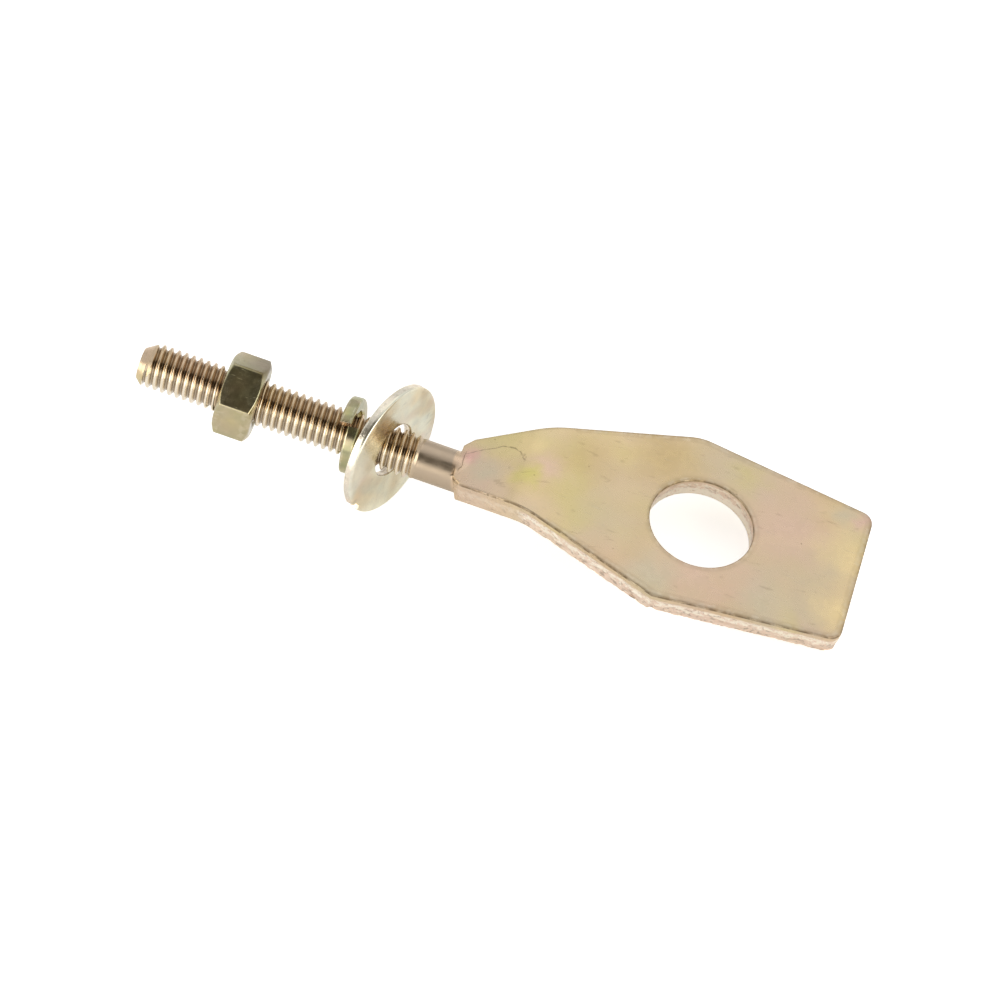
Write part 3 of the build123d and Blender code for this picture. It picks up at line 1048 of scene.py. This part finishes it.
def shear_group(label):
    """Sheared metal: smears drawn along the wall, painted bright as a highlight where it broke, and dark in
    between.
    """
    group, given, out = new_group(label, ("Torn", "Glint"), ("Height", "Bright", "Dark"))
    place, torn = given["Place"], given["Torn"]
    smears = moved(group, place, (0, 0, 4), (0.6, 0.6, 1.5))
    drawn = grain(group, smears, scale=1.5, detail=4.0, distortion=0.3)
    crumbs = grain(group, moved(group, place, (9, 4, 1)), scale=3.2, detail=3.0, distortion=0.4)
    both = added(group, drawn, 0.6, product(group, crumbs, 0.4))
    lifted = added(group, given["Glint"], 0.16, both)
    hollows = moved(group, place, (2, 8, 5), (0.8, 0.8, 1.3))
    dark = grain(group, hollows, scale=1.6, detail=4.0, distortion=0.5)
    feed(group, out, {
        "Height": product(group, both, torn),
        "Bright": product(group, ranged(group, lifted, 0.56, 0.68), torn),
        "Dark": product(group, ranged(group, dark, 0.52, 0.66), torn),
    })
    return group


RIM_DEPTH, RIM_HALF = 0.05, 0.065


def rim_group(label):
    """Thin dark line where the wall rolls over into the upper face, broken here and there."""
    group, given, out = new_group(label, ("Depth", "Edge"), ("Line",))
    uneven = grain(group, given["Place"], scale=0.9, detail=4.0, distortion=0.3)
    broken = ranged(group, uneven, 0.34, 0.58, to=(0.45, 1.0))
    line = band(group, given["Depth"], RIM_DEPTH, RIM_HALF)
    feed(group, out, {"Line": product(group, line, ranged(group, given["Edge"], 0.0, 0.4), broken)})
    return group


# Forging marks on the tongue, with painted shade in its crease and fold, in millimetres along the stud and
# across it
CREASE, CREASE_HALF = -31.5, 0.11
FOLD, FOLD_HALF = -32.1, 0.16  # where the shank's near side leaves the tongue; a line of painted shade
SEAM_START = 1.3  # across, where the seam's side begins at the crease
SEAM_HALF = 2.9  # across, where it is widest
SEAM_WIDEST = -27.4
SEAM_STRAIGHT = -26.6  # where the side turns into the seam's round end
SEAM_ROUND = 2.7
SEAM_THIN = 0.05
FLUSH_ALONG, FLUSH_ACROSS = (-30.7, 1.6), (0.9, 2.2)  # middle and reach of the pink film


def seam_group(label):
    """Forging marks on the tongue: painted shade in the crease where the shank ends and along the fold, and
    one side of a rounded seam.
    """
    group, given, out = new_group(label, ("Depth",), ("Line", "Flush"))
    place = given["Place"]
    wobble = maths(group, "SUBTRACT", grain(group, place, scale=0.8, detail=3.0), 0.5)
    x, y, _ = node(group, "SeparateXYZ", {0: place}).outputs
    along, across = added(group, wobble, 1.1, x), added(group, wobble, 0.9, y)
    upper = ranged(group, given["Depth"], 0.1, 0.0)

    past = maths(group, "MAXIMUM", maths(group, "SUBTRACT", along, SEAM_STRAIGHT), 0.0)
    past = maths(group, "DIVIDE", past, SEAM_ROUND)
    widens = {0: along, 1: CREASE, 2: SEAM_WIDEST, 3: SEAM_START, 4: SEAM_HALF}
    sideways = maths(group, "DIVIDE", across, node(group, "MapRange", widens).outputs[0])
    ring = maths(group, "SQRT", added(group, past, past, product(group, sideways, sideways)))
    faint = ranged(group, grain(group, place, scale=1.5, detail=2.0), 0.35, 0.6, to=(0.35, 1.0))
    far_side = ranged(group, across, 0.4, 1.4)
    beyond = ranged(group, along, CREASE - 0.1, CREASE)
    seam = product(group, band(group, ring, 1.0, SEAM_THIN), far_side, beyond, faint)
    near_end, far_end = ranged(group, across, -1.9, -1.2), ranged(group, across, 1.9, 1.4)
    crease = product(group, band(group, along, CREASE, CREASE_HALF), near_end, far_end)
    fold = product(group, band(group, x, FOLD, FOLD_HALF), ranged(group, y, -1.0, -1.6))
    lines = maths(group, "MAXIMUM", maths(group, "MAXIMUM", seam, crease), fold)
    flush = product(group, band(group, along, *FLUSH_ALONG), band(group, across, *FLUSH_ACROSS))
    feed(group, out, {"Line": product(group, lines, upper), "Flush": product(group, flush, upper)})
    return group


# Spots on the plate where the film has another tint: along, across, reach, tint and how much
FILM_SPOTS = (
    (-20.6, 0.6, 4.6, "Rose", 0.7),
    (-23.2, -1.3, 3.0, "Lime", 0.8),
    (-24.0, 3.6, 2.6, "Straw", 0.5),
    (-16.0, 4.2, 6.0, "Olive", 0.6),
    (-6.5, 8.4, 8.5, "Olive", 0.9),
    (4.0, 10.2, 4.5, "Lime", 0.4),
    (11.2, 3.6, 8.5, "Rose", 0.6),
    (1.2, -8.5, 7.0, "Rose", 0.6),
    (20.4, 2.2, 6.5, "Straw", 1.0),
    (19.9, -6.1, 6.0, "Straw", 1.0),
    (17.4, 9.0, 3.0, "Sage", 0.7),
    (20.0, 9.3, 2.2, "Rose", 0.8),
    (10.2, -8.6, 5.5, "Sage", 0.6),
    (-4.2, -10.7, 5.0, "Sage", 0.75),
    (-12.0, -4.5, 6.0, "Sage", 0.3),
    (-28.5, -1.3, 3.4, "Sage", 0.7),
)
SPOT_SWAY = (5.0, 5.0, 5.0)


def spots_group(label):
    """The plate's own film spots, their outlines swayed."""
    group, given, out = new_group(label, ("Colour", *FILM_TINTS), ("Colour",))
    uneven = node(group, "TexNoise", {"Vector": given["Place"], "Scale": 0.3, "Detail": 4.0})
    sway = vectors(group, "ADD", uneven.outputs["Color"], (-0.5, -0.5, -0.5))
    sway = vectors(group, "MULTIPLY", sway, SPOT_SWAY)
    flat = vectors(group, "MULTIPLY", vectors(group, "ADD", given["Place"], sway), (1, 1, 0))
    tint = given["Colour"]
    for along, across, reach, name, amount in FILM_SPOTS:
        away = vectors(group, "DISTANCE", flat, (along, across, 0))
        tint = blend_colour(group, ranged(group, away, reach, 0.0, to=(0.0, amount)), tint, given[name])
    feed(group, out, {"Colour": tint})
    return group


HIGHLIGHT_WAY = (0.0, 0.779, 0.627)  # across the stud, from its lower side, painted pale as a highlight, to its coppery upper side


def stud_group(label):
    """Tints of the stud: copper over the thread, painted pale as a highlight on its lower side, and greyish
    on the plain shank.
    """
    inputs = ("Colour", "Thread", "Shank", "Copper", "Pale", "Grey")
    group, given, out = new_group(label, inputs, ("Colour",))
    across = vectors(group, "DOT_PRODUCT", given["Place"], HIGHLIGHT_WAY)
    # Painted highlight: the thread's lower side is made pale
    lower = product(group, ranged(group, across, 0.3, -0.9), given["Thread"], 0.7)
    tint = blend_colour(group, product(group, given["Thread"], 0.65), given["Colour"], given["Copper"])
    tint = blend_colour(group, lower, tint, given["Pale"])
    tint = blend_colour(group, product(group, given["Shank"], 0.85), tint, given["Grey"])
    feed(group, out, {"Colour": tint})
    return group


EFFECTS = {
    "Chromate Film": film_group,
    "Handling Marks": marks_group,
    "Edge Wear": wear_group,
    "Sheared Metal": shear_group,
    "Rolled Rim": rim_group,
    "Forge Seam": seam_group,
    "Film Spots": spots_group,
    "Stud Tints": stud_group,
}


class Coat:
    """Colour, roughness and height of one plated finish, worked up effect by effect."""

    def __init__(self, tree, finish):
        self.tree, self.finish = tree, finish
        self.place = node(tree, "Attribute", attribute_name="place").outputs["Vector"]
        self.edge = self.mark("edge")

    def mark(self, name):
        """One of the piece's surface marks."""
        return node(self.tree, "Attribute", attribute_name=name).outputs["Fac"]

    def effect(self, label, inputs):
        """Outputs of an effect, which is made when it is first used."""
        group = bpy.data.node_groups.get(label) or EFFECTS[label](label)
        made = node(self.tree, "Group", node_tree=group)
        feed(self.tree, made, {"Place": self.place, **inputs})
        return made.outputs

    def cover(self, mask, share, tint):
        """Covers a share of the colour with a tint where the mask is."""
        self.tint = blend_colour(self.tree, product(self.tree, mask, share), self.tint, tint)

    def roughen(self, mask, amount):
        self.roughness = added(self.tree, mask, amount, self.roughness)

    def lift(self, mask, amount):
        self.height = added(self.tree, mask, amount, self.height)


def sheared_walls(coat):
    """Torn metal, painted bright as a highlight where it broke, and dark in between; the hole's lower wall
    is a painted reflection of the floor.
    """
    torn = coat.mark("sheared")
    shear = coat.effect("Sheared Metal", {"Torn": torn, "Glint": coat.mark("glint")})
    coat.cover(torn, 0.7, coat.finish.torn)
    coat.cover(shear["Dark"], 0.45, coat.finish.grime)
    # Painted highlight in bare zinc's colour where the wall broke
    coat.cover(shear["Bright"], 0.85, coat.finish.bare)
    coat.lift(shear["Height"], 5.0)
    coat.roughen(torn, 0.06)


def forged_neck(coat):
    """Forging marks on the tongue with painted shade in its crease and fold, and the dark line of the
    plate's rolled rim.
    """
    depth = coat.mark("depth")
    seam = coat.effect("Forge Seam", {"Depth": depth})
    rim = coat.effect("Rolled Rim", {"Depth": depth, "Edge": coat.edge})["Line"]
    coat.cover(seam["Flush"], 0.8, coat.finish.flush)
    # Painted shade in the crease and fold, over a slight groove, drawn with the seam's line
    coat.cover(seam["Line"], 0.6, coat.finish.grime)
    coat.cover(rim, 0.85, coat.finish.grime)
    coat.lift(seam["Line"], -1.5)
    coat.roughen(ranged(coat.tree, coat.edge, 0.75, 1.0), 0.2)
    coat.roughen(rim, 0.35)


def tinted_stud(coat):
    """Copper tint of the thread, painted pale as a highlight on its lower side, and the greyish shank."""
    thread, shank = coat.mark("thread"), coat.mark("shank")
    coat.tint = coat.effect("Stud Tints", {
        "Colour": coat.tint, "Thread": thread, "Shank": shank,
        "Copper": coat.finish.copper, "Pale": coat.finish.bare, "Grey": coat.finish.shank,
    })["Colour"]
    coat.roughen(thread, -0.12)
    coat.roughen(shank, 0.05)


# Painted shade on the nut's far upper flat
DARK_FLAT_WAY = (0.18, 0.53, 0.83)  # square to the nut's far upper flat, leaning towards the plate
DARK_FLAT_REACH = (-7.2, -5.5)


def painted_dark_flat(coat):
    """Painted shade: the nut's far upper flat darkened brown."""
    reach = vectors(coat.tree, "DOT_PRODUCT", coat.place, DARK_FLAT_WAY)
    coat.cover(ranged(coat.tree, reach, *DARK_FLAT_REACH), 0.85, coat.finish.brown)


def dark_roots(coat):
    """Painted shade in the thread's roots, and all through the nut's threaded bore."""
    coat.cover(ranged(coat.tree, coat.mark("valley"), 0.35, 1.0), 0.6, coat.finish.grime)


CLOUD_ROUGH = 0.10
BUMP_STRENGTH, BUMP_HEIGHT = 0.4, 0.05


def plated(name, finish, base, green, patches, strength, pits, scratches, rough, wear, looks, spotted=False):
    """Zinc and chromate on steel: film tints, handling marks and worn edges, then the piece's own looks."""
    material = bpy.data.materials.new(name)
    material.use_nodes = True
    tree = material.node_tree
    coat = Coat(tree, finish)
    tints = {tint: getattr(finish, tint.lower()) for tint in FILM_TINTS}
    tints["Lime"] = green
    film = coat.effect("Chromate Film", {"Base": base, **tints, "Patches": patches, "Strength": strength})
    marks = coat.effect("Handling Marks", {"Pits": pits, "Scratches": scratches})
    coat.tint, coat.height = film["Colour"], marks["Height"]
    coat.roughness = added(tree, film["Cloud"], CLOUD_ROUGH, rough)
    if spotted:
        coat.tint = coat.effect("Film Spots", {"Colour": coat.tint, **tints})["Colour"]
    coat.cover(marks["Dark"], 0.45, finish.grime)
    coat.cover(marks["Scratch"], 0.25, finish.bare)
    coat.cover(coat.effect("Edge Wear", {"Edge": coat.edge, "Amount": wear})["Worn"], 1.0, finish.bare)
    for look in looks:
        look(coat)
    bump = node(tree, "Bump", {
        "Strength": BUMP_STRENGTH, "Distance": BUMP_HEIGHT * MM, "Height": coat.height,
    })
    feed(tree, tree.nodes["Principled BSDF"], {
        "Metallic": 1.0, "Base Color": coat.tint, "Roughness": coat.roughness, "Normal": bump.outputs[0],
    })
    return material


class AdjusterOperator(bpy.types.Operator):
    """Shared settings of the adjuster's operators"""

    bl_options = {"REGISTER", "UNDO"}

    def settings(self, context):
        """Sizes in millimetres, the adjuster's axes and its finish."""
        sizes = context.scene.adjuster_sizes
        return Millimetres(sizes), adjuster_axes(sizes), context.scene.adjuster_finish


class OBJECT_OT_adjuster_bolt(AdjusterOperator):
    """Build the cranked plate and its threaded stud as one piece"""

    bl_idname = "object.adjuster_bolt"
    bl_label = "Plate and Stud"

    def execute(self, context):
        mm, axes, finish = self.settings(context)
        piece = build_bolt(mm).piece("drawplate_and_stud", axes)
        material = plated(
            "plate_chromate", finish, base=finish.plate, green=finish.lime, patches=0.09, strength=0.45,
            pits=0.12, scratches=0.5, rough=0.24, wear=0.2,
            looks=(sheared_walls, forged_neck, tinted_stud, dark_roots), spotted=True,
        )
        dress(piece, material, "bolt", "adjuster_bolt")
        return {"FINISHED"}


class OBJECT_OT_adjuster_nut(AdjusterOperator):
    """Build the hexagon nut"""

    bl_idname = "object.adjuster_nut"
    bl_label = "Nut"

    def execute(self, context):
        mm, axes, finish = self.settings(context)
        piece = build_nut(mm).piece("hexagon_nut", axes)
        # Painted shade on the nut's far upper flat and through its threaded bore
        material = plated(
            "nut_chromate", finish, base=finish.nut, green=finish.lime, patches=0.2, strength=0.25,
            pits=0.15, scratches=0.6, rough=0.16, wear=0.12, looks=(painted_dark_flat, dark_roots),
        )
        dress(piece, material, "nut", "hex_nut")
        return {"FINISHED"}


class OBJECT_OT_adjuster_spring_washer(AdjusterOperator):
    """Build the split lock washer"""

    bl_idname = "object.adjuster_spring_washer"
    bl_label = "Split Washer"

    def execute(self, context):
        mm, axes, finish = self.settings(context)
        place = axes @ ring_axes(-mm.spring_back, -mm.spring_lean, 0)
        piece = build_spring_washer(mm).piece("split_washer", place)
        material = plated(
            "split_washer_chromate", finish, base=finish.spring, green=finish.lime, patches=0.3,
            strength=0.35, pits=0.1, scratches=0.3, rough=0.12, wear=0.2, looks=(sheared_walls,),
        )
        dress(piece, material, "spring_washer", "spring_washer")
        return {"FINISHED"}


class OBJECT_OT_adjuster_flat_washer(AdjusterOperator):
    """Build the plain washer"""

    bl_idname = "object.adjuster_flat_washer"
    bl_label = "Plain Washer"

    def execute(self, context):
        mm, axes, finish = self.settings(context)
        place = axes @ ring_axes(-mm.washer_back, -mm.rest_tilt, -mm.washer_yaw)
        piece = build_flat_washer(mm).piece("plain_washer", place)
        material = plated(
            "washer_chromate", finish, base=finish.washer, green=finish.mint, patches=0.16, strength=0.55,
            pits=0.12, scratches=0.4, rough=0.17, wear=0.3, looks=(sheared_walls,),
        )
        dress(piece, material, "flat_washer", "flat_washer")
        return {"FINISHED"}


# Stage
FLOOR_HALF = 1.5
FLOOR_GLOW = 0.62  # added where the camera sees the floor
FLOOR_SHEEN = 0.3  # added where the metal shows it
ROOM = (0.75, 0.75, 0.75)
DIM = (0.12, 0.11, 0.09)
DIM_WAY = (0.02, -0.46, 0.888)
DIM_STRETCH = (0.3, 1.0, 1.0)  # draws the dim zone out along the stud
DIM_RANGE = (0.86, 0.95)
# Brighter zones of the room: heading, where each begins and is full, and how bright
BRIGHT_ZONES = (
    ((-0.78, -0.57, 0.26), 0.86, 0.94, (2.8, 2.75, 2.6)),
    ((0.84, -0.48, 0.26), 0.86, 0.94, (2.8, 2.75, 2.6)),
    ((-0.17, -0.93, 0.32), 0.92, 0.975, (1.7, 1.66, 1.55)),
)
SOFTBOX_SIZE = (0.9, 0.6)
SOFTBOX_PLACE = (-0.1, 0.55, 0.85)
SENSOR_WIDTH = 36.0
NEAR_CLIP = 0.01


def pale_floor(stage):
    """Floor that the camera and the metal see as white, darkened a little where the part shades it."""
    material = bpy.data.materials.new("pale_floor")
    material.use_nodes = True
    tree = material.node_tree
    tree.nodes.clear()
    path = node(tree, "LightPath").outputs
    seen = maths(tree, "MAXIMUM", path["Is Camera Ray"], path["Is Glossy Ray"])
    seen = maths(tree, "MAXIMUM", seen, path["Is Transmission Ray"])
    matt = node(tree, "BsdfDiffuse", {"Color": stage.floor}).outputs[0]
    strength = ranged(tree, path["Is Camera Ray"], 0.0, 1.0, to=(FLOOR_SHEEN, FLOOR_GLOW))
    glow = node(tree, "Emission", {"Color": (1, 1, 1), "Strength": strength}).outputs[0]
    lit = node(tree, "AddShader", {0: matt, 1: glow}).outputs[0]
    mixed = node(tree, "MixShader", {0: seen, 1: matt, 2: lit}).outputs[0]
    node(tree, "OutputMaterial", {"Surface": mixed})
    return material


def add_floor(scene):
    mesh = bpy.data.meshes.new("floor")
    corners = [(x * FLOOR_HALF, y * FLOOR_HALF, 0) for x, y in ((-1, -1), (1, -1), (1, 1), (-1, 1))]
    mesh.from_pydata(corners, [], [(0, 1, 2, 3)])
    mesh.materials.append(pale_floor(scene.adjuster_stage))
    floor = bpy.data.objects.new("floor", mesh)
    scene.collection.objects.link(floor)


def studio_world(scene):
    """Bright room, dim above the camera and brighter low on both sides, which the metal shows as bands."""
    scene.world = bpy.data.worlds.new("studio")
    scene.world.use_nodes = True
    tree = scene.world.node_tree
    tree.nodes.clear()
    heading = node(tree, "TexCoord").outputs["Generated"]
    drawn = vectors(tree, "NORMALIZE", vectors(tree, "MULTIPLY", heading, DIM_STRETCH))
    toward = vectors(tree, "DOT_PRODUCT", drawn, DIM_WAY)
    room = blend_colour(tree, ranged(tree, toward, *DIM_RANGE), ROOM, DIM)
    for way, begins, full, bright in BRIGHT_ZONES:
        toward = vectors(tree, "DOT_PRODUCT", heading, way)
        room = blend_colour(tree, ranged(tree, toward, begins, full), room, bright)
    seen = node(tree, "LightPath").outputs["Is Camera Ray"]
    sky = node(tree, "Background", {"Color": blend_colour(tree, seen, room, (1, 1, 1)), "Strength": 1.0})
    node(tree, "OutputWorld", {"Surface": sky.outputs[0]})


def add_softbox(scene):
    lamp = bpy.data.lights.new("softbox", "AREA")
    lamp.shape = "RECTANGLE"
    lamp.size, lamp.size_y = SOFTBOX_SIZE
    lamp.energy = scene.adjuster_stage.key_power
    softbox = bpy.data.objects.new("softbox", lamp)
    softbox.location = SOFTBOX_PLACE
    softbox.rotation_euler = (-softbox.location).to_track_quat("-Z", "Y").to_euler()
    scene.collection.objects.link(softbox)


def add_camera(scene):
    stage = scene.adjuster_stage
    azimuth, elevation = stage.azimuth, stage.elevation
    away = Vector((sin(azimuth) * cos(elevation), -cos(azimuth) * cos(elevation), sin(elevation)))
    right = Vector((cos(azimuth), sin(azimuth), 0))
    up = away.cross(right)
    camera = bpy.data.objects.new("camera", bpy.data.cameras.new("camera"))
    camera.data.sensor_width = SENSOR_WIDTH
    camera.data.lens = stage.lens
    camera.data.clip_start = NEAR_CLIP
    pose = Matrix((right, up, away)).transposed().to_4x4()
    pose.translation = right * stage.aim_right + up * stage.aim_up + away * stage.distance
    camera.matrix_world = pose
    scene.collection.objects.link(camera)
    scene.camera = camera


class OBJECT_OT_adjuster_stage(AdjusterOperator):
    """Set up the floor, the light and the camera"""

    bl_idname = "object.adjuster_stage"
    bl_label = "Stage"

    def execute(self, context):
        scene = context.scene
        add_floor(scene)
        studio_world(scene)
        add_softbox(scene)
        add_camera(scene)
        scene.view_settings.view_transform = "Standard"
        return {"FINISHED"}


class VIEW3D_PT_adjuster(bpy.types.Panel):
    """Chain adjuster's pieces and stage"""

    bl_label = "Chain Adjuster"
    bl_space_type = "VIEW_3D"
    bl_region_type = "UI"
    bl_category = "Adjuster"

    def draw(self, context):
        for operator in OPERATORS:
            self.layout.operator(operator.bl_idname)
        for settings in SETTINGS:
            group = getattr(context.scene, settings)
            box = self.layout.box()
            for name in group.__annotations__:
                box.prop(group, name)


OPERATORS = (
    OBJECT_OT_adjuster_bolt,
    OBJECT_OT_adjuster_nut,
    OBJECT_OT_adjuster_spring_washer,
    OBJECT_OT_adjuster_flat_washer,
    OBJECT_OT_adjuster_stage,
)
SETTINGS = {
    "adjuster_sizes": AdjusterSizes,
    "adjuster_finish": AdjusterFinish,
    "adjuster_stage": AdjusterStage,
}
CLASSES = (*SETTINGS.values(), *OPERATORS, VIEW3D_PT_adjuster)


def register():
    for made in CLASSES:
        bpy.utils.register_class(made)
    for name, settings in SETTINGS.items():
        setattr(bpy.types.Scene, name, bpy.props.PointerProperty(type=settings))


def unregister():
    for name in SETTINGS:
        delattr(bpy.types.Scene, name)
    for made in reversed(CLASSES):
        bpy.utils.unregister_class(made)


def main():
    register()
    bpy.ops.object.adjuster_bolt()
    bpy.ops.object.adjuster_nut()
    bpy.ops.object.adjuster_spring_washer()
    bpy.ops.object.adjuster_flat_washer()
    bpy.ops.object.adjuster_stage()


if __name__ == "__main__":
    main()
